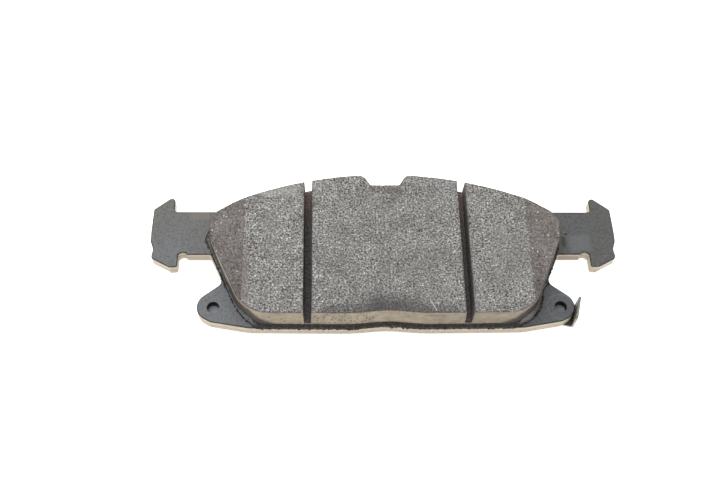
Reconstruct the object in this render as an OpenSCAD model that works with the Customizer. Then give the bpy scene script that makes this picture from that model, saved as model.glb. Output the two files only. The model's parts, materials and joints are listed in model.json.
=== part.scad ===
// Disc brake pad with hammerhead ends, two locating ears and a bend-up wear indicator.
// Millimetres. +Z points at the disc, +Y away from the wheel centre, +X along the disc's travel.
// The origin is on the outer face of the shim, at the middle of the pad, where the piston presses.

/* [Backing plate] */
// Thickness of the steel plate
plate_t = 5.2; // [4.6:0.1:6]
// Half of the overall length over the two hammerheads
hook_reach = 97.4; // [96:0.1:100]
// Height of the neck between its upper and lower guide faces
neck_h = 20.7; // [18:0.1:22]
// Height of the neck's middle above the pad's middle
neck_mid = 11; // [10:0.1:12]
// Distance from the middle to the inner face of each upper hook
hook_inner_x = 88.4; // [87:0.1:90]
// Distance from the middle to the inner face of each lower hook
lower_hook_x = 85.5; // [85:0.1:87]
// How far the plate's outer and inner edges stand out past the lining
plate_margin = 1.3; // [0.8:0.1:1.6]
// How far the plate's lower edge stands out past the lining
plate_lower_margin = 0.7; // [0.5:0.05:1]

/* [Ears] */
// Distance of each ear's round end from the middle, along the pad
ear_x = 70.2; // [69:0.1:71]
// Distance of each ear's round end below the middle
ear_drop = 23.2; // [23:0.1:24]
// Radius of the ear's round end
ear_r = 6.2; // [5.8:0.1:6.4]
// How far both dimples lie to the right of the ears' round ends
dimple_shift = 0.4; // [0:0.1:0.5]
// How far both dimples lie below the ears' round ends
dimple_drop = 0.45; // [0:0.05:0.5]
// Radius of the half-pierced dimple in the front of each ear
dimple_r = 2.45; // [2:0.05:3]
// Depth of the dimple
dimple_depth = 3.2; // [2:0.1:4]
// Radius of the stud that the dimple pushes out of the back
stud_r = 2.4; // [2:0.05:3]
// Height of the plain stud on the left ear
stud_h = 1.6; // [1:0.1:2]
// Radius of the right stud's staked head
head_r = 3.9; // [3.5:0.1:4.4]
// Thickness of the staked head
head_t = 0.7; // [0.5:0.1:1]

/* [Lining] */
// Radius of the lining's outer edge about the wheel's centre
lining_r = 154; // [150:1:160]
// Height of the outer edge above the middle, at the centre line
crown_y = 31.8; // [31:0.1:32.5]
// Depth of the lining's straight lower edge below the middle
lower_drop = 32.1; // [31.5:0.1:33]
// How much deeper the lower edge is beside its hollow than at its ends
lower_bow = 0.35; // [0:0.05:0.5]
// Height of the shallow hollow in the middle of the lower edge
hollow_h = 1.1; // [0:0.1:2]
// Half the length of that hollow
hollow_half = 16; // [12:1:20]
// Height of the notch floor in the outer edge
notch_y = 26.6; // [25:0.1:28]
// Half the width of the notch floor
notch_half = 6; // [4:0.1:7]
// Thickness of the friction material
friction_t = 10.05; // [9:0.05:12]
// Thickness of the underlayer
underlayer_t = 2.6; // [1.4:0.1:3]
// Thickness of the bonding film
film_t = 0.15; // [0.1:0.05:0.3]
// How far the bonding film is squeezed out around the lining
film_spill = 0.4; // [0:0.1:0.4]

/* [Slots and chamfers] */
// Distance of each slot's middle from the centre line
slot_x = 31.9; // [28:0.1:34]
// Width of a slot at the friction face
slot_w = 3.35; // [2.5:0.05:4.5]
// Width of a slot at its floor
slot_floor_w = 2.7; // [2:0.1:4.5]
// Friction material left under a slot, at the lining's lower edge
slot_web = 0.5; // [0.4:0.05:2]
// How much a slot's floor rises over its length
slot_rise = 1.9; // [0:0.1:3]
// Distance from the centre line to the start of each end chamfer
chamfer_x = 57.7; // [52:0.1:62]
// Angle of the end chamfers
chamfer_deg = 15.5; // [8:0.5:20]

/* [Wear indicator] */
// Thickness of the spring strip
clip_t = 0.8; // [0.6:0.05:0.8]
// Width of the strip
clip_w = 10; // [8:0.1:10]
// Radius of the strip's round foot
clip_foot_r = 5.6; // [4:0.1:6]
// Distance from the stud's axis to the inner face of the upturned finger
clip_reach = 6.05; // [5.9:0.05:7]
// Angle that the strip is turned by, towards the lower edge
clip_turn = 14.5; // [5:0.5:20]
// Outward lean of the finger
clip_lean = 2; // [0:0.5:6]
// Height of the finger's end above the plate's back
clip_h = 8.4; // [7:0.1:8.5]

/* [Shim] */
// Thickness of the shim's steel core
shim_steel_t = 0.6; // [0.4:0.05:0.8]
// Thickness of each rubber coat
shim_rubber_t = 0.15; // [0.1:0.05:0.2]
// Thickness of the adhesive that holds the shim
shim_glue_t = 0.1; // [0.05:0.05:0.15]
// How far the shim's edge lies inside the lining's
shim_inset = 2.5; // [1:0.5:4]

/* [Hidden] */
$fn = 64;
overcut = 1;

// Heights of the layers, from the shim's outer face up to the disc
core_z = shim_rubber_t;
inner_rubber_z = core_z + shim_steel_t;
glue_z = inner_rubber_z + shim_rubber_t;
back_z = glue_z + shim_glue_t;
front_z = back_z + plate_t;
underlayer_z = front_z + film_t;
friction_z = underlayer_z + underlayer_t;
face_z = friction_z + friction_t;

wheel_y = crown_y - lining_r;
neck_low = neck_mid - neck_h / 2;
neck_high = neck_mid + neck_h / 2;
ear = [ear_x, -ear_drop];
right_dimple = ear + [dimple_shift, -dimple_drop];
left_dimple = [dimple_shift - ear_x, -ear_drop - dimple_drop];
arc_step = 7;

// Moulded plugs of underlayer that lock into holes through the plate
plug_r = 6;
plug_places = [[18, 12], [46, -7]];

// Undercut at the root of each lower hook
relief_r = 2;
relief = [lower_hook_x - relief_r, neck_low - 1];

// ---- outlines ----

// Points on a circle about c, from angle a1 to angle a2
function arc(c, r, a1, a2) =
    let (n = max(2, ceil(abs(a2 - a1) / arc_step)))
    [for (i = [0:n]) let (a = a1 + (a2 - a1) * i / n) [c.x + r * cos(a), c.y + r * sin(a)]];

// An arc of radius r that rounds the corner p between its neighbours p0 and p1
function corner(p0, p, p1, r) =
    let (
        u = (p0 - p) / norm(p0 - p),
        v = (p1 - p) / norm(p1 - p),
        half = acos(u * v) / 2,
        c = p + (u + v) / norm(u + v) * r / sin(half),
        s = p + u * r / tan(half) - c,
        e = p + v * r / tan(half) - c,
        a1 = atan2(s.y, s.x),
        turn = atan2(s.x * e.y - s.y * e.x, s * e)
    )
    arc(c, r, a1, a1 + turn);

function xy(p) = [p.x, p.y];

// A path of [x, y, corner radius] with its corners rounded; a point with no radius stays sharp
function rounded(path) =
    let (n = len(path))
    [for (i = [0:n - 1])
        let (p = path[i])
        each p[2] == undef ? [xy(p)]
            : corner(xy(path[(i + n - 1) % n]), xy(p), xy(path[(i + 1) % n]), p[2])];

// The right half of a path, then its mirror image, as one closed path
function both_halves(half) =
    concat(half, [for (i = [len(half) - 1:-1:0]) let (p = half[i]) [-p.x, p.y, p[2]]]);

// Height of an edge that runs at radius r about the wheel's centre
function edge_y(x, r) = wheel_y + sqrt(r * r - x * x);

// Points along such an edge, between two distances from the centre line
function edge(r, x1, x2, step) = [for (x = [x1:step:x2]) [x, edge_y(x, r)]];

// The lower edge from x1 to the centre line: it bows down a little, then rises in a shallow hollow
function lower_edge(x1, y, height) =
    concat([[x1, y, 15], [hollow_half * 1.3, y - lower_bow, 40]],
        [for (t = [1, 0.82, 0.64, 0.46, 0.28, 0.1])
            [hollow_half * t, y - lower_bow + height * pow(cos(90 * t), 2)]]);

// Outline of the lining, grown by g all round
function lining_path(g) =
    let (r = lining_r + g, low = -lower_drop - g)
    both_halves(concat(
        [[notch_half - g / 3, notch_y + g, 1.2], [8.9 - g / 4, edge_y(8.9, r) + 0.05, 3]],
        edge(r, 14, 56, 6),
        [[63, edge_y(63, r) + 0.4, 20], [72.8 + g, edge_y(72.8, r) + 0.8, 7], [71.9 + g, 3.5, 20]],
        lower_edge(56.6 + g, low, hollow_h)
    ));

// Outline of the backing plate, with its necks, hammerheads and ears
function plate_path() =
    let (r = lining_r + plate_margin, low = -lower_drop - plate_lower_margin)
    both_halves(concat(
        [[notch_half - 0.4, notch_y + 1.2, 1.2], [8.6, edge_y(8.6, r) + 0.05, 3]],
        edge(r, 14, 54, 8),
        // neck, upper hook and outer end
        [[59.6, neck_high, 6], [hook_inner_x, neck_high, 1.2], [hook_inner_x, neck_high + 8.3, 1.5],
         [hook_reach - 0.3, 22.6, 1.5], [hook_reach, 12, 10], [hook_reach - 0.1, 7, 2.5],
         [hook_reach - 1.4, 3.4, 2]],
        // lower hook, back to the neck
        [[hook_reach - 0.9, -1, 1.7], [88.9, -5.2, 1.6], [lower_hook_x, -5.2, 1], [lower_hook_x, neck_low],
         [72.2, neck_low, 1]],
        // ear
        [[66.4, -12.4, 3.2]],
        arc(ear, ear_r, 52, -62),
        [[70.7, -30, 3]],
        lower_edge(55, low, hollow_h - 0.1)
    ));

module lining_shape(g = 0) {
    polygon(rounded(lining_path(g)));
}

module plate_shape() {
    difference() {
        polygon(rounded(plate_path()));
        for (side = [-1, 1])
            translate([side * relief.x, relief.y])
                circle(relief_r);
    }
}

module on_both_sides(p) {
    for (side = [-1, 1])
        translate([side * p.x, p.y, 0])
            children();
}

module plug_cylinders(z1, z2) {
    for (p = plug_places)
        on_both_sides(p)
            translate([0, 0, z1])
                cylinder(r = plug_r, h = z2 - z1);
}

module layer(z, h) {
    translate([0, 0, z])
        linear_extrude(h)
            children();
}

// ---- sub-parts ----

// Steel plate: stud sizes differ because the right one is staked over the wear indicator
module backing_plate() {
    color("#6f7478") {
        difference() {
            layer(back_z, plate_t)
                plate_shape();
            for (dimple = [left_dimple, right_dimple])
                translate([dimple.x, dimple.y, front_z - dimple_depth])
                    cylinder(r = dimple_r, h = dimple_depth + overcut);
            plug_cylinders(back_z - overcut, front_z + overcut);
        }
        translate([left_dimple.x, left_dimple.y, back_z - stud_h])
            cylinder(r = stud_r, h = stud_h);
        translate([right_dimple.x, right_dimple.y, back_z - clip_t - head_t]) {
            cylinder(r = stud_r, h = clip_t + head_t);
            cylinder(r = head_r, h = head_t);
        }
    }
}

module bonding_film() {
    color("#2a2627")
        difference() {
            layer(front_z, film_t)
                lining_shape(film_spill);
            plug_cylinders(front_z - overcut, underlayer_z + overcut);
        }
}

module underlayer() {
    color("#35302f")
        union() {
            layer(underlayer_z, underlayer_t)
                lining_shape();
            plug_cylinders(back_z, underlayer_z);
        }
}

// Wedge that chamfers one end of the friction face
module end_wedge() {
    run = 30;
    rotate([90, 0, 0])
        linear_extrude(2 * crown_y + 20, center = true)
            polygon([[chamfer_x - overcut, face_z + overcut * tan(chamfer_deg)],
                [chamfer_x + run, face_z - run * tan(chamfer_deg)],
                [chamfer_x + run, face_z + overcut]]);
}

// One slot's tapered space, which gets shallower away from the lining's lower edge
module slot_space() {
    depth = friction_t - slot_web;
    flare = (slot_w - slot_floor_w) / 2 / depth;
    top = depth + 4;
    tilt = atan(slot_rise / (crown_y + lower_drop));
    translate([0, -lower_drop, face_z - depth])
        rotate([90 + tilt, 0, 0])
            linear_extrude(5 * crown_y, center = true)
                polygon([[-slot_floor_w / 2, 0], [slot_floor_w / 2, 0],
                    [slot_floor_w / 2 + flare * top, top], [-slot_floor_w / 2 - flare * top, top]]);
}

module friction_block() {
    color("#8c8985")
        difference() {
            layer(friction_z, friction_t)
                lining_shape();
            on_both_sides([slot_x, 0])
                slot_space();
            for (side = [0, 1])
                mirror([side, 0, 0])
                    end_wedge();
        }
}

// Side view of the strip: flat foot, bend and upright finger, in the x-z plane of the stud
function clip_profile() =
    let (
        bend_r = 0.5,
        out_r = bend_r + clip_t,
        c = [clip_reach - bend_r, bend_r],
        up = [sin(clip_lean), cos(clip_lean)],
        rise = clip_h - bend_r,
        inner = arc(c, bend_r, -90, -clip_lean),
        outer = arc(c, out_r, -clip_lean, -90)
    )
    concat([[0, 0]], inner, [inner[len(inner) - 1] + up * rise],
        [outer[0] + up * (rise + out_r)], outer, [[0, -clip_t]]);

// The finger's face, seen along the strip, with a rounder corner on the lower-edge side
module clip_face() {
    w = clip_w / 2;
    polygon(rounded([[-w, -5], [w, -5], [w, clip_h, 0.6], [-w, clip_h, 1.8]]));
}

module wear_indicator() {
    color("#7b7c70")
        translate([right_dimple.x, right_dimple.y, back_z])
            rotate([0, 0, -clip_turn])
                difference() {
                    union() {
                        intersection() {
                            rotate([90, 0, 0])
                                linear_extrude(clip_w + 2, center = true)
                                    polygon(clip_profile());
                            rotate([90, 0, 90])
                                linear_extrude(clip_reach + 5)
                                    clip_face();
                        }
                        translate([0, 0, -clip_t])
                            cylinder(r = clip_foot_r, h = clip_t);
                    }
                    translate([0, 0, -clip_t - overcut])
                        cylinder(r = stud_r, h = clip_t + 2 * overcut);
                }
}

module shim_layer(z, h) {
    layer(z, h)
        lining_shape(-shim_inset);
}

module shim_adhesive() {
    color("#b9b7a8")
        shim_layer(glue_z, shim_glue_t);
}

module shim_inner_rubber() {
    color("#2b2c2e")
        shim_layer(inner_rubber_z, shim_rubber_t);
}

module shim_steel_core() {
    color("#9a9da0")
        shim_layer(core_z, shim_steel_t);
}

module shim_outer_rubber() {
    color("#2f3032")
        shim_layer(0, shim_rubber_t);
}

backing_plate();
bonding_film();
underlayer();
friction_block();
wear_indicator();
shim_adhesive();
shim_inner_rubber();
shim_steel_core();
shim_outer_rubber();
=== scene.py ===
import json
import math
import random

import bmesh
import bpy
import numpy as np
from mathutils import Matrix, Vector, geometry, noise
from mathutils.bvhtree import BVHTree


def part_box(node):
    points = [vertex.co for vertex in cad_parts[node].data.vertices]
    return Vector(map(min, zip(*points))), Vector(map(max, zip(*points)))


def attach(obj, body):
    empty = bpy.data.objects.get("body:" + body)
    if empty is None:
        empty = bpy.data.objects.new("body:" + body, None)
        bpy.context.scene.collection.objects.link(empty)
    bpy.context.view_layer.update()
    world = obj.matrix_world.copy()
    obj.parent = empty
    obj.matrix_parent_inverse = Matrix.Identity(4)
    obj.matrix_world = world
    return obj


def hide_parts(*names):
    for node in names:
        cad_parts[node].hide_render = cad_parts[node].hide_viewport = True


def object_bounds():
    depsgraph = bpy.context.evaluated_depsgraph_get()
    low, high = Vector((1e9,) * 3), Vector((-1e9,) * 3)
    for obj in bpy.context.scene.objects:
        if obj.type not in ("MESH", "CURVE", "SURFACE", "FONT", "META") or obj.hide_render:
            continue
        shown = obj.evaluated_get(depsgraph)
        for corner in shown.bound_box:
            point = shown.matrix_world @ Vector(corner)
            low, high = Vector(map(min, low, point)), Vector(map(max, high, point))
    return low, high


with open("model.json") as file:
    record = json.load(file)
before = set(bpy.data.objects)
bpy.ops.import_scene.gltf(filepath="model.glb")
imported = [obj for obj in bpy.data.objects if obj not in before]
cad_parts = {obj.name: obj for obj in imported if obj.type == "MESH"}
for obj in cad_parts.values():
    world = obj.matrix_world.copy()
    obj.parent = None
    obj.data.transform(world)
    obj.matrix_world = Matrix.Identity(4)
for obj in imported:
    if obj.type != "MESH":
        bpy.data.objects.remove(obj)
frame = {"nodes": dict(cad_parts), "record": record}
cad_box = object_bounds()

MM = 0.001

# ---- places, read from the frame ----

# Heights: the lining's foot, its ground face, and the plate's front and back faces
lining_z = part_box("friction_block")[0].z
face_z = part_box("friction_block")[1].z
front_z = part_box("bonding_film")[0].z
back_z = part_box("shim_adhesive")[1].z
mounts = {m["name"]: m for m in frame["record"]["mounts"]}
dimples = [Vector(mounts[name]["pos_m"]) for name in ("left_dimple", "right_dimple")]
dimple_r = mounts["left_dimple"]["dims"]["r_mm"] * MM
guide_y = mounts["left_lower_guide"]["pos_m"][1]

# The end chamfers of the friction face: where they start and how steep they are
CHAMFER_X = 57.7 * MM
CHAMFER_SLOPE = math.tan(math.radians(15.5))
# The slots lie between these distances from the middle
SLOT_NEAR, SLOT_FAR = 28 * MM, 36 * MM
# The hammerheads begin this far from the middle
HAMMER_X = 88 * MM
# The wear indicator is turned by this angle
STRIP_TURN = math.radians(14.5)


# ---- camera and light ----


def camera():
    """Stands in front of the pad's lower edge and looks down at the friction face."""
    spot = Vector((-25.4, -203.8, 373.2)) * MM
    yaw, pitch, roll = (math.radians(a) for a in (4.08, 60.0, 3.54))
    data = bpy.data.cameras.new("camera")
    data.sensor_width = 36.0
    data.lens = 50.68
    data.clip_start = 0.01
    data.clip_end = 20.0
    obj = bpy.data.objects.new("camera", data)
    obj.matrix_world = (
        Matrix.Translation(spot)
        @ Matrix.Rotation(-yaw, 4, "Z")
        @ Matrix.Rotation(math.pi / 2 - pitch, 4, "X")
        @ Matrix.Rotation(roll, 4, "Z")
    )
    bpy.context.scene.collection.objects.link(obj)
    bpy.context.scene.camera = obj


def softbox(name, spot, size, watts):
    """A square white studio light at spot, facing the pad."""
    data = bpy.data.lights.new(name, "AREA")
    data.shape = "SQUARE"
    data.size = size
    data.energy = watts
    obj = bpy.data.objects.new(name, data)
    obj.location = spot
    obj.rotation_euler = (-Vector(spot)).to_track_quat("-Z", "Y").to_euler()
    bpy.context.scene.collection.objects.link(obj)


def studio():
    """Even light from above, a little stronger on the left, and a fill from each side."""
    scene = bpy.context.scene
    scene.view_settings.view_transform = "Standard"
    world = bpy.data.worlds.new("studio")
    world.use_nodes = True
    sky = world.node_tree.nodes["Background"].inputs
    sky["Color"].default_value = (0.97, 0.98, 1.0, 1.0)
    sky["Strength"].default_value = 0.42
    scene.world = world
    softbox("overhead", (-0.22, 0.15, 0.95), 0.9, 6.0)
    softbox("left_fill", (-0.9, 0.1, 0.22), 0.4, 2.6)
    softbox("right_fill", (0.9, 0.0, 0.22), 0.4, 2.2)


# ---- small tools for materials ----


def srgb(code):
    """An sRGB hex colour as linear RGBA."""
    parts = [int(code[i:i + 2], 16) / 255 for i in (1, 3, 5)]
    return tuple(c / 12.92 if c <= 0.04045 else ((c + 0.055) / 1.055) ** 2.4 for c in parts) + (1.0,)


def per_mm(size):
    """The texture scale that gives features of that size in millimetres."""
    return 1.0 / (size * MM)


def add(tree, kind, inputs=None, out=0, to=None, stops=None, **settings):
    """Adds one node: its inputs are numbers, hex colours or links, its settings are attributes and
    its stops fill a colour ramp. Gives one of its outputs, and links it to a socket if one is named."""
    whole_name = kind.startswith(("Geometry", "Function", "NodeGroup"))
    node = tree.nodes.new(kind if whole_name else "ShaderNode" + kind)
    for key, value in settings.items():
        setattr(node, key, value)
    for key, value in (inputs or {}).items():
        if isinstance(value, bpy.types.NodeSocket):
            tree.links.new(value, node.inputs[key])
        elif isinstance(value, str) and value.startswith("#"):
            node.inputs[key].default_value = srgb(value)
        else:
            node.inputs[key].default_value = value
    if stops:
        ramp = node.color_ramp.elements
        while len(ramp) < len(stops):
            ramp.new(0.5)
        for element, (place, colour) in zip(ramp, stops):
            element.position = place
            element.color = srgb(colour) if isinstance(colour, str) else (colour, colour, colour, 1.0)
    if to:
        tree.links.new(node.outputs[out], to)
    return node.outputs[out] if len(node.outputs) else node


def new_material(name, **values):
    """A material with one Principled shader set to values, and its object coordinates."""
    material = bpy.data.materials.new(name)
    material.use_nodes = True
    tree = material.node_tree
    tree.nodes.clear()
    surface = tree.nodes.new("ShaderNodeBsdfPrincipled")
    for key, value in values.items():
        surface.inputs[key.replace("_", " ")].default_value = value
    add(tree, "OutputMaterial", {"Surface": surface.outputs["BSDF"]})
    return material, tree, surface.inputs, add(tree, "TexCoord", out="Object")


def grain(place, size, detail=2.0, rough=0.5):
    """Inputs for noise with features of that size in millimetres."""
    return {"Vector": place, "Scale": per_mm(size), "Detail": detail, "Roughness": rough}


def ease(value, low, high, start=0.0, end=1.0):
    """Inputs for a range that goes from start at low to end at high."""
    return {"Value": value, "From Min": low, "From Max": high, "To Min": start, "To Max": end}


def patch(tree, place, centre, half, soft, turn=0.0):
    """How far a point lies inside a soft rectangle on the plan, all in millimetres, turned by degrees."""
    local = add(tree, "Mapping", {"Vector": place, "Location": tuple(c * MM for c in centre) + (0.0,),
                "Rotation": (0.0, 0.0, math.radians(turn))}, vector_type="TEXTURE")
    wave = add(tree, "TexNoise", grain(place, soft * 2 + 0.5))
    inside = None
    for axis, size in zip("XY", half):
        away = add(tree, "SeparateXYZ", {0: local}, out=axis)
        away = add(tree, "Math", {0: away}, operation="ABSOLUTE")
        away = add(tree, "Math", {0: wave, 1: soft * MM, 2: away}, operation="MULTIPLY_ADD")
        near = add(tree, "MapRange", ease(away, (size + soft) * MM, size * MM), interpolation_type="SMOOTHSTEP")
        inside = near if inside is None else add(tree, "Math", {0: inside, 1: near}, operation="MULTIPLY")
    return inside


def stain(tree, colour, mask, tint, strength):
    """Lays a tint over the colour where the mask is 1, to that strength."""
    mask = add(tree, "Math", {0: mask, 1: strength}, operation="MULTIPLY")
    return add(tree, "Mix", {0: mask, 6: colour, 7: tint}, out=2, data_type="RGBA")


# ---- materials ----


def speckle(tree, place, tones, spread, flecks):
    """The grain of pressed friction compound: resin and graphite, with light fibre ends, dark grains
    and a few pits. Its grains of about 0.5 mm are as fine as the eye tells apart at arm's length.
    Gives the colour and a height."""
    shift = add(tree, "TexNoise", grain(place, 1.1, 2.0, 0.6), out="Color")
    bent = add(tree, "VectorMath", {0: shift, 1: (0.9 * MM,) * 3, 2: place}, operation="MULTIPLY_ADD")
    fine = add(tree, "TexNoise", grain(bent, 0.72, 2.0, 0.6))
    colour = add(tree, "ValToRGB", {"Fac": fine},
                 stops=[(0.5 - spread, tones[0]), (0.5, tones[1]), (0.5 + spread, tones[2])])
    for size, share, radius, tint, strength in (
        (1.1, flecks * 0.7, 0.38, "#f2f1ee", 0.9),
        (1.2, flecks * 0.8, 0.36, "#2e2c2b", 0.85),
        (4.6, 0.13, 0.17, "#353130", 0.9),
    ):
        cell = {"Vector": bent, "Scale": per_mm(size), "Randomness": 1.0}
        away = add(tree, "TexVoronoi", cell, out="Distance")
        pick = add(tree, "SeparateColor", {0: add(tree, "TexVoronoi", cell, out="Color")})
        core = add(tree, "MapRange", ease(away, radius, radius * 0.45), interpolation_type="SMOOTHSTEP")
        picked = add(tree, "Math", {0: pick, 1: 1.0 - share}, operation="GREATER_THAN")
        mask = add(tree, "Math", {0: core, 1: picked}, operation="MULTIPLY")
        colour = stain(tree, colour, mask, tint, strength)
    drift = add(tree, "TexNoise", grain(place, 7.0, 3.0, 0.75))
    tone = add(tree, "ValToRGB", {"Fac": drift}, stops=[(0.3, "#cfcac7"), (0.5, "#f0efed"), (0.7, "#ffffff")])
    colour = add(tree, "Mix", {0: 1.0, 6: colour, 7: tone}, out=2, data_type="RGBA", blend_type="MULTIPLY")
    return colour, fine


def worn_rim(tree, colour, tint, strength):
    """Darkens the compound along its rims, where it is smeared and chipped."""
    worn = add(tree, "Attribute", out="Fac", attribute_name="worn")
    return stain(tree, colour, worn, tint, strength)


def ground_face():
    """Friction compound ground flat: matt and speckled, smudged by handling, with one scratch."""
    material, tree, shader, place = new_material("ground_friction_compound", Roughness=0.9)
    colour, height = speckle(tree, place, ("#444241", "#908f8c", "#d3d2cf"), 0.16, 0.3)
    for centre, half, soft, turn, tint, strength in (
        # soiled towards the lower rim, most in the middle
        ((1, -28), (8, 3.5), 8.0, 0, "#454342", 0.6),
        ((0, -32), (27, 3), 3.0, 0, "#454342", 0.35),
        ((0, -32), (24, 5), 16.0, 0, "#454342", 0.4),
        ((0, -32), (80, 3), 12.0, 0, "#454342", 0.2),
        # paler near the upper rim on the left, browner below the notch
        ((-44, 24), (8, 3), 4.0, 0, "#c4c2be", 0.35),
        ((0, 24.2), (6.5, 1.6), 3.0, 0, "#564f4b", 0.5),
        # smoother where the chamfers' wheel ran out and where hands rubbed
        ((-46, 3), (3, 12), 5.0, 8, "#8f8682", 0.2),
        ((-57.5, -17), (1.5, 9), 2.5, 0, "#7f7773", 0.65),
        ((50, -6), (8, 14), 6.0, 0, "#83827f", 0.3),
        ((15, -12), (13, 6), 8.0, 0, "#6f6e6c", 0.15),
        ((0, -2), (25, 25), 6.0, 0, "#6f6e6c", 0.14),
        # the scratch
        ((17.3, -28.9), (0.12, 3.0), 0.12, 26, "#e6e5e1", 0.9),
    ):
        colour = stain(tree, colour, patch(tree, place, centre, half, soft, turn), tint, strength)
    tree.links.new(worn_rim(tree, colour, "#3e3a37", 0.8), shader["Base Color"])
    add(tree, "Bump", {"Height": height, "Distance": 0.12 * MM}, to=shader["Normal"])
    return material


def ground_chamfer():
    """The same compound ground with a finer wheel: smoother and a little browner."""
    material, tree, shader, place = new_material("ground_chamfer_compound", Roughness=0.85)
    colour, height = speckle(tree, place, ("#514b49", "#7b7572", "#9c9693"), 0.18, 0.1)
    x, y = (add(tree, "SeparateXYZ", {0: place}, out=axis) for axis in "XY")
    # painted light: the chamfers are made lighter towards the right. They are also made darker towards the near
    # end.
    along = add(tree, "MapRange", ease(x, -60 * MM, 60 * MM, 1.0, 1.14))
    low = add(tree, "MapRange", ease(y, -24 * MM, -4 * MM, 0.8, 1.0))
    shade = add(tree, "Math", {0: along, 1: low}, operation="MULTIPLY")
    colour = add(tree, "VectorMath", {0: colour, "Scale": shade}, operation="SCALE")
    tree.links.new(worn_rim(tree, colour, "#3e3835", 0.8), shader["Base Color"])
    add(tree, "Bump", {"Height": height, "Distance": 0.06 * MM}, to=shader["Normal"])
    return material


def cut_slot():
    """Slot walls and floors: torn compound, coloured near black as painted shade in the narrow slots, browner
    towards the wheel's rim.
    """
    material, tree, shader, place = new_material("cut_slot_compound", Roughness=0.95)
    fine = add(tree, "TexNoise", grain(place, 0.8, 3.0, 0.65))
    # painted shade: the compound in the slots is made near black
    black = add(tree, "ValToRGB", {"Fac": fine}, stops=[(0.3, "#423e3d"), (0.5, "#625d5b"), (0.75, "#8f8986")])
    brown = add(tree, "ValToRGB", {"Fac": fine}, stops=[(0.3, "#5c4d49"), (0.5, "#82706a"), (0.75, "#a89891")])
    y = add(tree, "SeparateXYZ", {0: place}, out="Y")
    far = add(tree, "MapRange", ease(y, 14 * MM, 27 * MM))
    add(tree, "Mix", {0: far, 6: black, 7: brown}, out=2, to=shader["Base Color"], data_type="RGBA")
    add(tree, "Bump", {"Height": fine, "Distance": 0.15 * MM}, to=shader["Normal"])
    return material


def pitted(tree, colour, place):
    """Dark pits in the skin, thickest on the near side a little left of the middle."""
    cell = {"Vector": place, "Scale": per_mm(1.2), "Randomness": 1.0}
    away = add(tree, "TexVoronoi", cell, out="Distance")
    pick = add(tree, "SeparateColor", {0: add(tree, "TexVoronoi", cell, out="Color")})
    off = add(tree, "VectorMath", {0: place, 1: (-17 * MM, -33 * MM, front_z)}, out="Value", operation="DISTANCE")
    share = add(tree, "MapRange", ease(off, 9 * MM, 16 * MM, 0.35, 0.93))
    picked = add(tree, "Math", {0: pick, 1: share}, operation="GREATER_THAN")
    core = add(tree, "MapRange", ease(away, 0.46, 0.26), interpolation_type="SMOOTHSTEP")
    return stain(tree, colour, add(tree, "Math", {0: core, 1: picked}, operation="MULTIPLY"), "#40372f", 0.8)


def streaked(tree, colour, place, z):
    """One brown streak just below the rim, right of the middle."""
    streak = patch(tree, place, (18, -32), (4.5, 3), 2.0)
    below = add(tree, "MapRange", ease(z, face_z - 1.6 * MM, face_z - 2.2 * MM))
    above = add(tree, "MapRange", ease(z, face_z - 3.4 * MM, face_z - 2.6 * MM))
    band = add(tree, "Math", {0: below, 1: above}, operation="MULTIPLY")
    streak = add(tree, "Math", {0: streak, 1: band}, operation="MULTIPLY")
    return stain(tree, colour, streak, "#6a5344", 0.5)


def shaded_foot(tree, colour, place, x, y, z):
    """Painted shade at the skin's foot, which climbs to the rim at the corners."""
    aside = add(tree, "Math", {0: x}, operation="ABSOLUTE")
    beyond = add(tree, "Math", {0: aside, 1: CHAMFER_X}, operation="SUBTRACT")
    beyond = add(tree, "Math", {0: beyond, 1: 0.0}, operation="MAXIMUM")
    drop = add(tree, "Math", {0: beyond, 1: CHAMFER_SLOPE}, operation="MULTIPLY")
    rim = add(tree, "Math", {0: face_z, 1: drop}, operation="SUBTRACT")
    depth = add(tree, "Math", {0: rim, 1: z}, operation="SUBTRACT")

    # how far down from the rim the skin is free of painted shade, in 10 mm, on the way from the middle to the
    # ends
    outward = add(tree, "MapRange", ease(aside, 40 * MM, 76 * MM))
    unshaded_reach = add(tree, "ValToRGB", {"Fac": outward}, stops=[
        (0.11, 0.88), (0.17, 0.72), (0.24, 0.57), (0.29, 0.46), (0.34, 0.28), (0.42, 0.04),
        (0.58, 0.02), (0.67, 0.12), (1.0, 0.13)])
    far = add(tree, "MapRange", ease(y, 8 * MM, 18 * MM, 0.0, 0.3))
    unshaded_reach = add(tree, "Math", {0: unshaded_reach, 1: far}, operation="ADD")
    unshaded_reach = add(tree, "Math", {0: unshaded_reach, 1: 10 * MM}, operation="MULTIPLY")

    wave = add(tree, "TexNoise", grain(place, 1.4, 3.0, 0.6))
    ragged = add(tree, "Math", {0: wave, 1: 1.0 * MM, 2: depth}, operation="MULTIPLY_ADD")
    over = add(tree, "Math", {0: ragged, 1: unshaded_reach}, operation="SUBTRACT")
    foot_shade = add(tree, "MapRange", ease(over, 0.0, 3.8 * MM), interpolation_type="SMOOTHSTEP")
    return stain(tree, colour, foot_shade, "#332c29", 0.94)


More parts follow.
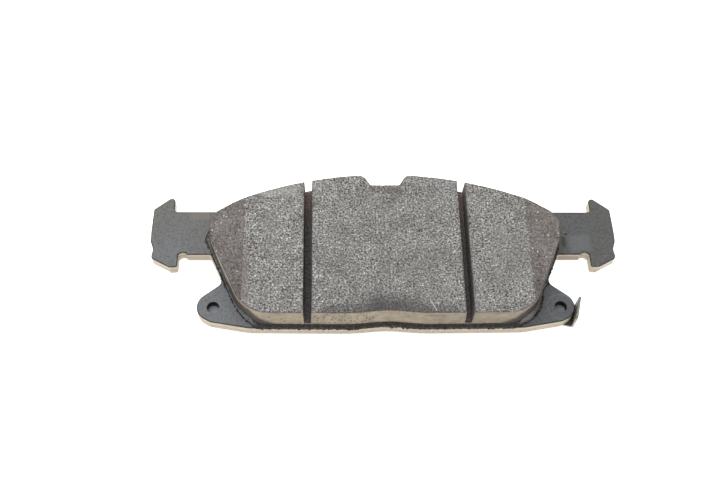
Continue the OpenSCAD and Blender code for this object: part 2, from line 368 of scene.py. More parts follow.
def moulded_skin():
    """The lining's moulded sides: a smooth cream resin skin, pitted, with painted shade at its foot and corners.
    """
    material, tree, shader, place = new_material("moulded_lining_skin", Roughness=0.65, Specular_IOR_Level=0.3)
    x, y, z = (add(tree, "SeparateXYZ", {0: place}, out=axis) for axis in "XYZ")
    cloud = add(tree, "TexNoise", grain(place, 4.5, 3.0, 0.6))
    colour = add(tree, "ValToRGB", {"Fac": cloud}, stops=[(0.3, "#8a7e6b"), (0.5, "#9c907c"), (0.7, "#aba08b")])
    # painted shade: the skin is made darker towards the right
    shade = add(tree, "MapRange", ease(x, 0.0, 30 * MM, 1.0, 0.86))
    colour = add(tree, "VectorMath", {0: colour, "Scale": shade}, operation="SCALE")
    colour = pitted(tree, colour, place)
    colour = streaked(tree, colour, place, z)
    colour = shaded_foot(tree, colour, place, x, y, z)
    tree.links.new(worn_rim(tree, colour, "#463e38", 0.75), shader["Base Color"])
    wave = add(tree, "TexNoise", grain(place, 1.5, 3.0, 0.55))
    add(tree, "Bump", {"Height": wave, "Distance": 0.05 * MM}, to=shader["Normal"])
    return material


def black_underlayer():
    """Moulded rubber-bound underlayer: near black, granular and dull."""
    material, tree, shader, place = new_material("moulded_underlayer", Roughness=0.85, Specular_IOR_Level=0.2)
    fine = add(tree, "TexNoise", grain(place, 0.8, 3.0, 0.7))
    add(tree, "ValToRGB", {"Fac": fine}, to=shader["Base Color"],
        stops=[(0.3, "#161211"), (0.5, "#2e2826"), (0.72, "#5c5450")])
    add(tree, "Bump", {"Height": fine, "Distance": 0.15 * MM}, to=shader["Normal"])
    return material


def cured_resin():
    """Squeezed-out bonding resin: brown-black and slightly glossy, with grey dust where it lies thin, and kept
    black at the fillet as painted shadow.
    """
    material, tree, shader, place = new_material("cured_bonding_resin", Roughness=0.6, Specular_IOR_Level=0.25)
    fine = add(tree, "TexNoise", grain(place, 0.9, 3.0, 0.7))
    dark = add(tree, "ValToRGB", {"Fac": fine}, stops=[(0.3, "#161312"), (0.5, "#2a2523"), (0.72, "#504844")])
    grey = add(tree, "ValToRGB", {"Fac": fine}, stops=[(0.3, "#565351"), (0.5, "#706f6d"), (0.72, "#8c8b89")])
    # grey where dust lies; black at the fillet, painted shadow under the lining's foot
    thin = add(tree, "Attribute", out="Fac", attribute_name="dust_and_fillet_shadow")
    add(tree, "Mix", {0: thin, 6: dark, 7: grey}, out=2, to=shader["Base Color"], data_type="RGBA")
    add(tree, "Bump", {"Height": fine, "Distance": 0.15 * MM}, to=shader["Normal"])
    return material


def plate_paint():
    """Thin stoved black paint over steel: it greys the metal, clouded brown above and blue below,
    with an eggshell shine, bare scuffs and a few pits."""
    material, tree, shader, place = new_material("stoved_plate_paint", Roughness=0.5, IOR=1.5)
    x, y, z = (add(tree, "SeparateXYZ", {0: place}, out=axis) for axis in "XYZ")
    cloud = add(tree, "TexNoise", grain(place, 12.0, 3.0, 0.6))
    # browner towards the wheel's rim
    blend = add(tree, "Math", {0: y, 1: -8.0, 2: cloud}, operation="MULTIPLY_ADD")
    colour = add(tree, "ValToRGB", {"Fac": blend}, stops=[(0.2, "#6b6a65"), (0.42, "#6c6d6d"), (0.62, "#6e7275")])
    # painted sheen: the paint is made lighter on the left and darker on the right, standing in for the shine of
    # the light from the back left
    shade = add(tree, "MapRange", ease(x, -40 * MM, 60 * MM, 1.12, 0.85))
    colour = add(tree, "VectorMath", {0: colour, "Scale": shade}, operation="SCALE")
    speck = add(tree, "TexNoise", grain(place, 1.0, 3.0, 0.7))
    grit = add(tree, "ValToRGB", {"Fac": speck}, stops=[(0.25, "#9c9894"), (0.42, "#e6e4e2"), (0.6, "#ffffff")])
    colour = add(tree, "Mix", {0: 1.0, 6: colour, 7: grit}, out=2, data_type="RGBA", blend_type="MULTIPLY")
    for centre, half, soft, tint, strength in (
        # a rubbed strip with a line under it on the left neck, a pale cloud and a smear on the right
        ((-77.5, 19.0), (4.0, 1.6), 0.25, "#7c756d", 0.8),
        ((-79.0, 17.2), (5.6, 0.08), 0.25, "#6a5f5a", 0.6),
        ((82.0, 6.0), (4.5, 3.8), 2.5, "#75797d", 0.45),
        ((75.4, 6.6), (0.9, 2.4), 0.9, "#2f2c2b", 0.7),
        # a chip with a bare spot beside it, a bare spot, and three pits
        ((76.8, 10.5), (0.55, 0.35), 0.3, "#141211", 0.95),
        ((76.0, 11.4), (0.5, 0.25), 0.3, "#97835f", 0.8),
        ((92.0, -0.1), (0.45, 0.3), 0.3, "#8a7f72", 0.8),
        ((-90.0, 9.5), (0.25, 0.2), 0.25, "#2d2b2a", 0.9),
        ((-93.9, 5.9), (0.4, 0.25), 0.3, "#33302e", 0.8),
        ((-91.6, 16.3), (0.3, 0.2), 0.3, "#3a3735", 0.8),
    ):
        colour = stain(tree, colour, patch(tree, place, centre, half, soft), tint, strength)
    # painted light: the dimples' floors are made brighter to lift them out of their shade,
    # and so is all paint as low as they are, such as the plate's back
    lifted_low_paint = add(tree, "MapRange", ease(z, front_z - 1 * MM, front_z - 2 * MM, 1.0, 1.9))
    colour = add(tree, "VectorMath", {0: colour, "Scale": lifted_low_paint}, operation="SCALE")
    # faint ring that the piercing tool's pad left round the right dimple
    flat = add(tree, "VectorMath", {0: place, 1: (1.0, 1.0, 0.0)}, operation="MULTIPLY")
    away = add(tree, "VectorMath", {0: flat, 1: (dimples[1].x, dimples[1].y, 0.0)}, out="Value",
               operation="DISTANCE")
    off = add(tree, "Math", {0: away, 1: 5.5 * MM}, operation="SUBTRACT")
    off = add(tree, "Math", {0: off}, operation="ABSOLUTE")
    ring = add(tree, "MapRange", ease(off, 0.35 * MM, 0.1 * MM, 0.0, 0.3), interpolation_type="SMOOTHSTEP")
    add(tree, "Mix", {0: ring, 6: colour, 7: "#8b8f92"}, out=2, to=shader["Base Color"], data_type="RGBA")
    peel = add(tree, "TexNoise", grain(place, 1.8, 2.0, 0.5))
    add(tree, "Bump", {"Height": peel, "Distance": 0.03 * MM}, to=shader["Normal"])
    return material


def gathered_rim():
    """The plate's rolled front edge, where the same paint gathers thick and dark."""
    material, tree, shader, place = new_material("gathered_rim_paint", Roughness=0.5)
    tone = add(tree, "TexNoise", grain(place, 1.5, 2.0, 0.6))
    add(tree, "ValToRGB", {"Fac": tone}, to=shader["Base Color"], stops=[(0.35, "#2a2725"), (0.7, "#4a4642")])
    return material


def blanked_edge():
    """Bare blanked steel, oxidised cream: a burnished upper band, a torn lower one, and the necks'
    lower guide faces shaved flat and browner."""
    material, tree, shader, place = new_material("blanked_steel_edge", Metallic=0.15, Roughness=0.55)
    z = add(tree, "SeparateXYZ", {0: place}, out="Z")
    wave = add(tree, "TexNoise", grain(place, 2.2, 3.0, 0.6))
    height = add(tree, "Math", {0: wave, 1: 1.3 * MM, 2: z}, operation="MULTIPLY_ADD")
    soft = add(tree, "TexNoise", grain(place, 3.0, 3.0, 0.6))
    smooth = add(tree, "ValToRGB", {"Fac": soft}, stops=[(0.3, "#b9ad96"), (0.7, "#cabfaa")])
    fine = add(tree, "TexNoise", grain(place, 0.9, 3.0, 0.7))
    rough = add(tree, "ValToRGB", {"Fac": fine}, stops=[(0.3, "#998c74"), (0.5, "#bbaf98"), (0.7, "#c8bda8")])
    torn = add(tree, "MapRange", ease(height, back_z + 3.4 * MM, back_z + 3.0 * MM))
    colour = add(tree, "Mix", {0: torn, 6: smooth, 7: rough}, out=2, data_type="RGBA")
    # the line where burnishing ends and tearing starts
    off = add(tree, "Math", {0: height, 1: back_z + 3.2 * MM}, operation="SUBTRACT")
    off = add(tree, "Math", {0: off}, operation="ABSOLUTE")
    line = add(tree, "MapRange", ease(off, 0.3 * MM, 0.05 * MM, 0.0, 0.45))
    colour = add(tree, "Mix", {0: line, 6: colour, 7: "#6f6555"}, out=2, data_type="RGBA")
    # shaved guide faces, the right one browner
    inset = add(tree, "MapRange", ease(z, front_z - 1.5 * MM, front_z - 1.7 * MM))
    for side, tint in ((-77.0, "#b0a491"), (77.0, "#9a8e7d")):
        guide = patch(tree, place, (side, guide_y / MM), (4.4, 0.25), 0.25)
        guide = add(tree, "Math", {0: guide, 1: inset}, operation="MULTIPLY")
        colour = add(tree, "Mix", {0: guide, 6: colour, 7: tint}, out=2, data_type="RGBA")
    tree.links.new(colour, shader["Base Color"])
    upright = add(tree, "Mapping", {"Vector": place, "Scale": (1.0, 1.0, 0.1)})
    streaks = add(tree, "TexNoise", grain(upright, 0.6, 2.0, 0.6))
    add(tree, "Bump", {"Height": streaks, "Distance": 0.05 * MM}, to=shader["Normal"])
    return material


def pierced_wall():
    """The dimples' walls: torn steel, browned by heat and rust."""
    material, tree, shader, place = new_material("pierced_steel_wall", Metallic=0.3, Roughness=0.5)
    tone = add(tree, "TexNoise", grain(place, 1.0, 3.0, 0.6))
    add(tree, "ValToRGB", {"Fac": tone}, to=shader["Base Color"],
        stops=[(0.3, "#150e0c"), (0.6, "#2b1c17"), (0.8, "#5f5246")])
    return material


def spring_steel():
    """Hardened and tempered spring strip: olive grey, darker low down as painted shade, where it lies beside and
    under the plate's ear.
    """
    material, tree, shader, place = new_material("tempered_spring_strip", Metallic=0.3, Roughness=0.5)
    z = add(tree, "SeparateXYZ", {0: place}, out="Z")
    tone = add(tree, "TexNoise", grain(place, 2.0, 3.0, 0.65))
    light = add(tree, "ValToRGB", {"Fac": tone}, stops=[(0.3, "#6d6d65"), (0.55, "#8b8b81"), (0.8, "#a3a399")])
    dark = add(tree, "ValToRGB", {"Fac": tone}, stops=[(0.3, "#3d3431"), (0.55, "#574c47"), (0.8, "#7a6f68")])
    # painted shade: darker low down, lighter higher up
    height = add(tree, "Math", {0: tone, 1: 1.5 * MM, 2: z}, operation="MULTIPLY_ADD")
    high = add(tree, "MapRange", ease(height, back_z + 2.6 * MM, back_z + 5.6 * MM))
    add(tree, "Mix", {0: high, 6: dark, 7: light}, out=2, to=shader["Base Color"], data_type="RGBA")
    add(tree, "Bump", {"Height": tone, "Distance": 0.02 * MM}, to=shader["Normal"])
    return material


def sheared_strip():
    """The strip's sheared edges and bend: bare, bright steel."""
    material, tree, shader, place = new_material("sheared_strip_edge", Metallic=0.6, Roughness=0.4)
    tone = add(tree, "TexNoise", grain(place, 0.8, 3.0, 0.65))
    add(tree, "ValToRGB", {"Fac": tone}, to=shader["Base Color"], stops=[(0.3, "#77776a"), (0.7, "#a6a696")])
    return material


def shim_metal():
    """Zinc-coated shim steel: pale, with a soft spangle."""
    material, tree, shader, place = new_material("zinc_coated_shim_steel", Metallic=0.9, Roughness=0.38)
    tone = add(tree, "TexNoise", grain(place, 3.0))
    add(tree, "ValToRGB", {"Fac": tone}, to=shader["Base Color"], stops=[(0.3, "#a6a9ab"), (0.7, "#c6c8c8")])
    add(tree, "Bump", {"Height": tone, "Distance": 0.01 * MM}, to=shader["Normal"])
    return material


def shim_rubber():
    """Nitrile coat rolled on to the shim: black, dull, lightly pebbled."""
    material, tree, shader, place = new_material("nitrile_shim_coat", Roughness=0.8)
    tone = add(tree, "TexNoise", grain(place, 0.7))
    add(tree, "ValToRGB", {"Fac": tone}, to=shader["Base Color"], stops=[(0.3, "#1c1d1e"), (0.7, "#323335")])
    add(tree, "Bump", {"Height": tone, "Distance": 0.03 * MM}, to=shader["Normal"])
    return material


def shim_glue():
    """Acrylic transfer adhesive: milky and soft."""
    material, tree, shader, place = new_material("acrylic_shim_adhesive", Roughness=0.45)
    tone = add(tree, "TexNoise", grain(place, 1.0))
    add(tree, "ValToRGB", {"Fac": tone}, to=shader["Base Color"], stops=[(0.3, "#a9a797"), (0.7, "#c4c2b4")])
    return material


def lit_table():
    """White translucent table top, lit from below: no shadow shows on it."""
    material, tree, shader, place = new_material("lit_white_table", Roughness=0.9)
    shader["Emission Color"].default_value = (1.0, 0.99, 0.975, 1.0)
    shader["Emission Strength"].default_value = 0.75
    tone = add(tree, "TexNoise", grain(place, 120.0))
    add(tree, "ValToRGB", {"Fac": tone}, to=shader["Base Color"], stops=[(0.3, "#fafafa"), (0.7, "#ffffff")])
    return material


# ---- tools for meshes ----


def merged_copy(node):
    """A CAD node's mesh with its loose triangles merged into whole flat faces."""
    work = bmesh.new()
    work.from_mesh(frame["nodes"][node].data)
    bmesh.ops.remove_doubles(work, verts=work.verts, dist=0.002 * MM)
    bmesh.ops.dissolve_limit(work, angle_limit=math.radians(0.5), verts=work.verts, edges=work.edges)
    bmesh.ops.recalc_face_normals(work, faces=work.faces)
    return work


def piece_from(work, name, materials, sharp, replaces=None):
    """Turns a bmesh into a finished piece whose big flat faces shade flat, and registers it."""
    mesh = bpy.data.meshes.new(name)
    work.to_mesh(mesh)
    work.free()
    for material in materials:
        mesh.materials.append(material)
    mesh.shade_smooth()
    mesh.set_sharp_from_angle(angle=math.radians(sharp))
    obj = bpy.data.objects.new(name, mesh)
    bpy.context.scene.collection.objects.link(obj)
    even = obj.modifiers.new("even", "WEIGHTED_NORMAL")
    even.keep_sharp = True
    obj.data = made_plain(obj, name)
    obj.modifiers.remove(even)
    register(obj, replaces)
    return obj


def made_plain(obj, name):
    """The mesh that an object's modifiers make."""
    bpy.context.view_layer.update()
    mesh = bpy.data.meshes.new_from_object(obj.evaluated_get(bpy.context.evaluated_depsgraph_get()))
    mesh.name = name
    return mesh


def register(obj, replaces=None):
    """Says which body the piece rides on, and hides the CAD node it stands for."""
    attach(obj, "root")
    if replaces:
        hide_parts(replaces)


def paint_node(node, material):
    """Gives a CAD node that stays a finished material."""
    for slot in frame["nodes"][node].material_slots:
        slot.material = material


def fine_triangles(node, step, kind_of, filled, seed):
    """Cuts a CAD node's flat faces into triangles of about step.

    kind_of says what kind a face is, by its middle and its normal. Faces whose kind is in filled get
    points scattered inside; the others only follow their edges. Gives a bmesh whose material indices
    are the kinds, and for each vertex the kinds that meet there with their normals.
    """
    rng = random.Random(seed)
    coarse = merged_copy(node)
    points = [v.co.copy() for v in coarse.verts]
    divided = {}

    def between(a, b):
        """Indices of the points that divide the edge from a to b."""
        key = (min(a, b), max(a, b))
        if key not in divided:
            start, end = points[key[0]], points[key[1]]
            parts = max(1, round((end - start).length / step))
            divided[key] = list(range(len(points), len(points) + parts - 1))
            points.extend(start.lerp(end, i / parts) for i in range(1, parts))
        return divided[key] if a < b else divided[key][::-1]

    def scattered_inside(flat):
        """Points on a shaken triangular grid that keep away from the outline."""
        low, high = flat.min(0), flat.max(0)
        grid = np.mgrid[low[0]:high[0]:step, low[1]:high[1]:step * 0.87].reshape(2, -1).T
        row = np.round((grid[:, 1] - low[1]) / (step * 0.87)).astype(int)
        grid[:, 0] += (row % 2) * step / 2
        grid += np.array([(rng.uniform(-1, 1), rng.uniform(-1, 1)) for _ in grid]) * step * 0.18
        kept = []
        for part in np.array_split(grid, max(1, len(grid) // 400)):
            gap = np.hypot(part[:, None, 0] - flat[None, :, 0], part[:, None, 1] - flat[None, :, 1])
            kept += part[gap.min(1) > 0.6 * step].tolist()
        return kept

    work = bmesh.new()
    work.verts.layers.float.new("worn")
    verts, meets = {}, {}
    for face in coarse.faces:
        normal = face.normal.copy()
        kind = kind_of(face.calc_center_median(), normal)
        across = normal.orthogonal().normalized()
        up = normal.cross(across)
        corners = [v.index for v in face.verts]
        loop = []
        for a, b in zip(corners, corners[1:] + corners[:1]):
            loop += [a] + between(a, b)
        flat = np.array([(points[i].dot(across), points[i].dot(up)) for i in loop])
        inner = scattered_inside(flat) if kind in filled and np.ptp(flat, 0).min() > 1.2 * step else []
        made = geometry.delaunay_2d_cdt([Vector(p) / MM for p in flat.tolist() + inner], [],
                                        [list(range(len(loop)))], 1, 1e-6)
        base = points[loop[0]].dot(normal)
        number = []
        for co, sources in zip(made[0], made[3]):
            on_loop = [i for i in sources if i < len(loop)]
            if on_loop:
                number.append(loop[on_loop[0]])
            else:
                number.append(len(points))
                points.append(across * co.x * MM + up * co.y * MM + normal * base)
        for triangle in made[2]:
            ends = [number[i] for i in triangle]
            if len(set(ends)) < 3:
                continue
            for i in ends:
                if i not in verts:
                    verts[i] = work.verts.new(points[i])
                meets.setdefault(verts[i], {})[kind] = normal
            work.faces.new([verts[i] for i in ends]).material_index = kind
    coarse.free()
    work.normal_update()
    return work, meets


def hollowness(co, size, share, salt):
    """Depth from 0 to 1 of scattered pits of that size in millimetres; share sets how many."""
    value = noise.noise(co / (size * MM) + Vector((salt, 0, 0)))
    return max(0.0, min(1.0, (value - 0.75 + share) / 0.2))


# ---- pieces ----


def backing_plate():
    """The stamped plate: rolled front rim, sheared sides, dimples with painted floors, and studs."""
    paint, rim, edge, pierced = range(4)
    work = merged_copy("backing_plate")
    tiny = 0.05 * MM

    def in_dimple(co):
        return min((co - d).to_2d().length for d in dimples) < dimple_r + tiny

    def under_hammer(co):
        return abs(co.x) > HAMMER_X and co.y < guide_y

    def elsewhere(co):
        return not in_dimple(co) and not under_hammer(co)

    def anywhere(co):
        return True

    for face in work.faces:
        middle = face.calc_center_median()
        if abs(face.normal.z) < 0.5 and middle.z > back_z:
            face.material_index = pierced if in_dimple(middle) else edge

    # rounding of the edges between flats and sides: height, place, size in mm, segments, finish
    for height, place, size, segments, finish in (
        (front_z, elsewhere, 0.42, 4, rim),
        (front_z, under_hammer, 0.42, 4, rim),
        (front_z, in_dimple, 0.12, 2, rim),
        (back_z, elsewhere, 0.35, 3, edge),
        (back_z, under_hammer, 1.1, 4, edge),
        (cad_box[0][2], anywhere, 0.25, 2, paint),
    ):
        rims = [e for e in work.edges
                if all(abs(v.co.z - height) < tiny for v in e.verts) and len(e.link_faces) == 2
                and sum(abs(f.normal.z) > 0.9 for f in e.link_faces) == 1
                and place((e.verts[0].co + e.verts[1].co) / 2)]
        bmesh.ops.bevel(work, geom=rims, offset=size * MM, offset_type="OFFSET", segments=segments,
                        profile=0.5, affect="EDGES", material=finish)
    piece_from(work, "stamped_backing_plate",
               [plate_paint(), gathered_rim(), blanked_edge(), pierced_wall()], 35, "backing_plate")


def friction_block():
    """The lining: ground face and chamfers, pitted moulded sides, cut slots and chipped rims."""
    face, chamfer, wall, slot = range(4)

    def kind_of(middle, normal):
        by_slot = SLOT_NEAR < abs(middle.x) < SLOT_FAR
        if normal.z > 0.99:
            return face if middle.z > face_z - 1 * MM else slot
        if normal.z > 0.5:
            return chamfer
        return slot if by_slot and abs(normal.x) > 0.99 else wall

    work, meets = fine_triangles("friction_block", 0.7 * MM, kind_of, (face, chamfer, wall, slot), 11)
    worn = work.verts.layers.float["worn"]
    up = Vector((0, 0, 1))
    for vert, kinds in meets.items():
        co = vert.co.copy()
        top = face in kinds or chamfer in kinds
        side = [kinds[k] for k in (wall, slot) if k in kinds]
        if top and side:
            vert[worn] = 0.75 + 0.5 * noise.noise(co / (1.5 * MM))
            chip = (0.06 + hollowness(co, 1.5, 0.4, 3.0) * 0.2) * MM
            vert.co = co - side[0] * chip * 0.7 - up * chip
        elif top:
            torn = abs(noise.noise(co / (0.9 * MM))) * 0.05
            vert.co = co - up * (hollowness(co, 1.2, 0.3, 7.0) * 0.16 + torn) * MM
        elif wall in kinds and co.z > lining_z + 0.1 * MM:
            wave = noise.noise(co / (4 * MM)) * 0.05 + 0.02
            vert.co = co - kinds[wall] * (hollowness(co, 1.1, 0.35, 5.0) * 0.25 + wave) * MM
        elif slot in kinds:
            vert.co = co + kinds[slot] * noise.noise(co / (1.2 * MM)) * 0.09 * MM
    piece_from(work, "friction_lining",
               [ground_face(), ground_chamfer(), moulded_skin(), cut_slot()], 45, "friction_block")


def underlayer(material):
    """The dark layer under the lining, with a crumbly side."""
    side, flat = range(2)
    work, meets = fine_triangles("underlayer", 0.6 * MM,
                                 lambda middle, normal: flat if abs(normal.z) > 0.5 else side, (side,), 12)
    for vert, kinds in meets.items():
        if side in kinds and vert.co.z > front_z:
            rough = noise.noise(vert.co / (0.9 * MM)) * 0.14 + noise.noise(vert.co / (3 * MM)) * 0.08 + 0.05
            vert.co += kinds[side] * rough * MM
    piece_from(work, "crumbly_underlayer", [material, material], 50, "underlayer")


def lining_outline(step):
    """Points along the foot of the lining, with the outward direction at each."""
    coarse = merged_copy("friction_block")
    base = max((f for f in coarse.faces if f.normal.z < -0.9), key=lambda f: f.calc_area())
    # the face looks down, so its corners run clockwise seen from above
    corners = [v.co.to_2d() for v in base.verts][::-1]
    coarse.free()
    points = []
    for a, b in zip(corners, corners[1:] + corners[:1]):
        parts = max(1, math.ceil((b - a).length / step))
        points += [a.lerp(b, i / parts) for i in range(parts)]
    flat = np.array(points)
    ahead = np.roll(flat, -3, 0) - np.roll(flat, 3, 0)
    out = np.stack([ahead[:, 1], -ahead[:, 0]], 1)
    return flat, out / np.linalg.norm(out, axis=1)[:, None]


# Where the resin squeezed out furthest, in mm: place on the plan, length of the patch, extra width
SQUEEZED = (
    ((-73, 7.5), 3.0, 1.5), ((-66.5, -14.5), 1.2, 1.8), ((-59, -26), 6.0, -0.45), ((68, -4), 4.0, 0.5),
    ((65, -13), 1.5, 1.0), ((61, -22), 4.0, 1.5), ((57.5, -28), 4.0, 0.9), ((66.5, 19), 3.0, 0.9),
    ((0, 28), 20, 0.3),
)
# Where the resin climbed up the lining's side, in mm: places on the plan, how far along, how high
CLIMBED = ((-56.0, -27.8), (56.0, -27.8))
CLIMB_REACH, CLIMB_HEIGHT = 5.8, 4.8


def resin_flash(material):
    """Resin squeezed out round the lining: a black fillet, kept free of grey dust as painted shadow under
    the lining's foot, a thin film, and a crumbly bead at the film's edge. Along the lower edge it hangs over the
    plate's side."""
    flat, out = lining_outline(0.45 * MM)
    coarse = merged_copy("backing_plate")
    plate = BVHTree.FromBMesh(coarse)
    coarse.free()

    def room_at(p, n):
        """How far the plate's flat reaches out from the lining here."""
        for tenth in range(1, 61):
            spot = p + n * tenth * MM / 10
            hit = plate.ray_cast(Vector((spot[0], spot[1], face_z)), Vector((0, 0, -1)))[0]
            if hit is None or abs(hit.z - front_z) > 0.1 * MM:
                return tenth * MM / 10
        return 6 * MM

    def bent_over(p, n, d, rise, room):
        """A point d out from the lining and rise above the plate, or down its side past room."""
        if d <= room:
            return Vector((p[0] + n[0] * d, p[1] + n[1] * d, front_z + rise))
        reach = room - 0.12 * MM * max(0.0, 1 - (d - room) / (0.4 * MM)) + max(rise, 0.0) * 0.45
        return Vector((p[0] + n[0] * reach, p[1] + n[1] * reach, front_z - (d - room)))

    def width_at(spot, room, middle):
        """How far the resin reaches out from the lining, in mm. Where middle is 1 it passes the plate's rim."""
        width = 1.0 + sum(extra * math.exp(-((spot.to_2d() - Vector(at)).length / reach) ** 2)
                          for at, reach, extra in SQUEEZED)
        width *= 1 + 0.2 * noise.noise(spot / 2.6) + 0.2 * noise.noise(spot / 1.0)
        over_edge = room / MM + 0.8 + 0.35 * noise.noise(spot / 2.5) + 0.5 * noise.noise(spot / 0.9)
        return max(0.4, width + max(0.0, over_edge - width) * middle)

    # shares of the width at which a cross-section has its points
    across = (-0.25, 0.0, 0.1, 0.22, 0.4, 0.6, 0.76, 0.88, 0.96, 1.0)
    work = bmesh.new()
    dust_and_fillet_shadow = work.verts.layers.float.new("dust_and_fillet_shadow")
    loose = work.verts.layers.float.new("loose")
    rings = []
    for p, n in zip(flat, out):
        spot = Vector((p[0], p[1], 0)) / MM
        room = room_at(p, n)
        middle = min(1.0, max(0.0, (54 - abs(spot.x)) / 3)) if spot.y < -28 else 0.0
        width = width_at(spot, room, middle) * MM
        near = min((spot.to_2d() - Vector(place)).length for place in CLIMBED)
        climb = math.exp(-(near / CLIMB_REACH) ** 2) * (1 - 0.5 * middle)
        foot = 0.9 * MM * (1 - climb) + 0.85 * width * climb
        ring = []
        for f in across:
            slope = max(0.0, 1 - max(0.0, f) * width / foot) ** (2 - 0.8 * climb)
            lump = noise.noise(Vector((spot.x, spot.y, f * 4)) / 0.9)
            bead = 0.22 * math.exp(-((f - 0.9) / 0.09) ** 2) * (1 + 0.9 * lump)
            rise = 0.1 + slope * (0.9 + CLIMB_HEIGHT * climb) + bead + (0.05 + 0.2 * climb * slope) * lump
            vert = work.verts.new(bent_over(p, n, width * f, (max(0.03, rise) if f < 1 else 0.03) * MM, room))
            hangs = width * f > room
            # the fillet against the lining gets no grey dust: painted shadow under the lining's foot
            thin = math.exp(-((f - 0.5) / 0.32) ** 4) if f > 0 else 0.0
            vert[dust_and_fillet_shadow] = 0.2 + 0.5 * noise.noise(spot / 1.3) if hangs else thin * (1 - 0.8 * middle)
            vert[loose] = math.exp(-((f - 0.88) / 0.15) ** 2) * (0.4 if hangs else 1.0) if f > 0 else 0.0
            ring.append(vert)
        for f in (1.0, across[0]):
            ring.append(work.verts.new(bent_over(p, n, width * f, -0.01 * MM, room)))
        rings.append(ring)
    count = len(rings[0])
    for ring, nxt in zip(rings, rings[1:] + rings[:1]):
        for i in range(count):
            j = (i + 1) % count
            work.faces.new((ring[i], nxt[i], nxt[j], ring[j]))
    bmesh.ops.recalc_face_normals(work, faces=work.faces)
    return piece_from(work, "resin_flash", [material], 70)


def wear_indicator():
    """The L-shaped spring strip with its edges broken by the press tool."""
    edge = 1
    work = merged_copy("wear_indicator")
    sharp = [e for e in work.edges if len(e.link_faces) == 2 and e.calc_face_angle(0) > math.radians(50)]
    side = Vector((math.sin(STRIP_TURN), math.cos(STRIP_TURN), 0))
    for face in work.faces:
        on_top = face.normal.z > 0.9 and face.calc_center_median().z > front_z
        if on_top or abs(face.normal.dot(side)) > 0.9:
            face.material_index = edge
    bmesh.ops.bevel(work, geom=sharp, offset=0.1 * MM, offset_type="OFFSET", segments=2, profile=0.5,
                    affect="EDGES", clamp_overlap=True, material=edge)
    piece_from(work, "spring_wear_indicator", [spring_steel(), sheared_strip()], 35,
               "wear_indicator")


def scatter_tree():
    """Geometry nodes that scatter turned copies of a grain over a surface, thickest where a named
    attribute is highest."""
    tree = bpy.data.node_groups.new("scatter_grains", "GeometryNodeTree")
    for name, kind in (("Surface", "Geometry"), ("Grain", "Object"), ("Where", "String"),
                       ("Per square metre", "Float"), ("Smallest", "Float"), ("Largest", "Float"),
                       ("Seed", "Int"), ("Finish", "Material")):
        tree.interface.new_socket(name, in_out="INPUT", socket_type="NodeSocket" + kind)
    tree.interface.new_socket("Grains", in_out="OUTPUT", socket_type="NodeSocketGeometry")
    given = tree.nodes.new("NodeGroupInput").outputs
    where = add(tree, "GeometryNodeInputNamedAttribute", {"Name": given["Where"]}, data_type="FLOAT")
    amount = add(tree, "Math", {0: given["Per square metre"], 1: where}, operation="MULTIPLY")
    spread = {"Mesh": given["Surface"], "Density": amount, "Seed": given["Seed"]}
    points = add(tree, "GeometryNodeDistributePointsOnFaces", spread).node.outputs
    spin = add(tree, "FunctionNodeRandomValue", {"Max": (0.0, 0.0, 2 * math.pi), "Seed": given["Seed"]},
               data_type="FLOAT_VECTOR")
    size = add(tree, "FunctionNodeRandomValue", {"Min": given["Smallest"], "Max": given["Largest"],
               "Seed": given["Seed"]}, out=1, data_type="FLOAT")
    turned = add(tree, "FunctionNodeRotateRotation", {"Rotation": points["Rotation"], "Rotate By": spin},
                 rotation_space="LOCAL")
    placed = add(tree, "GeometryNodeInstanceOnPoints", {
        "Points": points["Points"], "Rotation": turned, "Scale": size,
        "Instance": add(tree, "GeometryNodeObjectInfo", {"Object": given["Grain"]}, out="Geometry")})
    real = add(tree, "GeometryNodeRealizeInstances", {"Geometry": placed})
    done = add(tree, "GeometryNodeSetMaterial", {"Geometry": real, "Material": given["Finish"]})
    tree.links.new(done, tree.nodes.new("NodeGroupOutput").inputs["Grains"])
    return tree


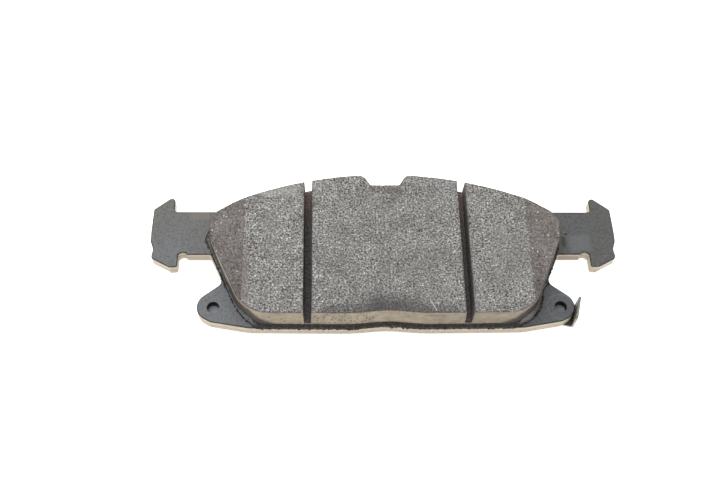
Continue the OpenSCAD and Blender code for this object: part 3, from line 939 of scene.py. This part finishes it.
def scattered(name, surface, grain_object, where, per_mm2, sizes, seed, material):
    """Makes a piece of grains scattered over surface."""
    modifier = surface.modifiers.new("grains", "NODES")
    modifier.node_group = scatter_tree()
    values = {"Grain": grain_object, "Where": where, "Per square metre": per_mm2 / MM ** 2,
              "Smallest": sizes[0], "Largest": sizes[1], "Seed": seed, "Finish": material}
    for item in modifier.node_group.interface.items_tree:
        if item.in_out == "INPUT" and item.name in values:
            modifier[item.identifier] = values[item.name]
    mesh = made_plain(surface, name)
    surface.modifiers.remove(modifier)
    obj = bpy.data.objects.new(name, mesh)
    bpy.context.scene.collection.objects.link(obj)
    bpy.data.objects.remove(grain_object)
    register(obj)


def crumb(size, seed):
    """One lumpy crumb of resin, with few faces."""
    work = bmesh.new()
    bmesh.ops.create_icosphere(work, subdivisions=1, radius=size * MM)
    for vert in work.verts:
        vert.co *= 1 + 0.4 * noise.noise(vert.co / (size * MM) * 1.7 + Vector((seed, 0, 0)))
        vert.co.z *= 0.7
    mesh = bpy.data.meshes.new("crumb")
    work.to_mesh(mesh)
    work.free()
    obj = bpy.data.objects.new("crumb", mesh)
    bpy.context.scene.collection.objects.link(obj)
    return obj


def table():
    """The table that the pad lies on."""
    work = bmesh.new()
    bmesh.ops.create_grid(work, x_segments=1, y_segments=1, size=3.0)
    for vert in work.verts:
        vert.co.z = cad_box[0][2]
    mesh = bpy.data.meshes.new("table")
    work.to_mesh(mesh)
    work.free()
    mesh.materials.append(lit_table())
    obj = bpy.data.objects.new("table", mesh)
    bpy.context.scene.collection.objects.link(obj)


camera()
studio()
table()

backing_plate()
friction_block()
underlayer(black_underlayer())
resin = cured_resin()
flash = resin_flash(resin)
scattered("resin_crumbs", flash, crumb(0.3, 1), "loose", 4.5, (0.3, 2.0), 4, resin)
wear_indicator()

paint_node("bonding_film", resin)
paint_node("shim_adhesive", shim_glue())
rubber = shim_rubber()
paint_node("shim_inner_rubber", rubber)
paint_node("shim_outer_rubber", rubber)
paint_node("shim_steel_core", shim_metal())
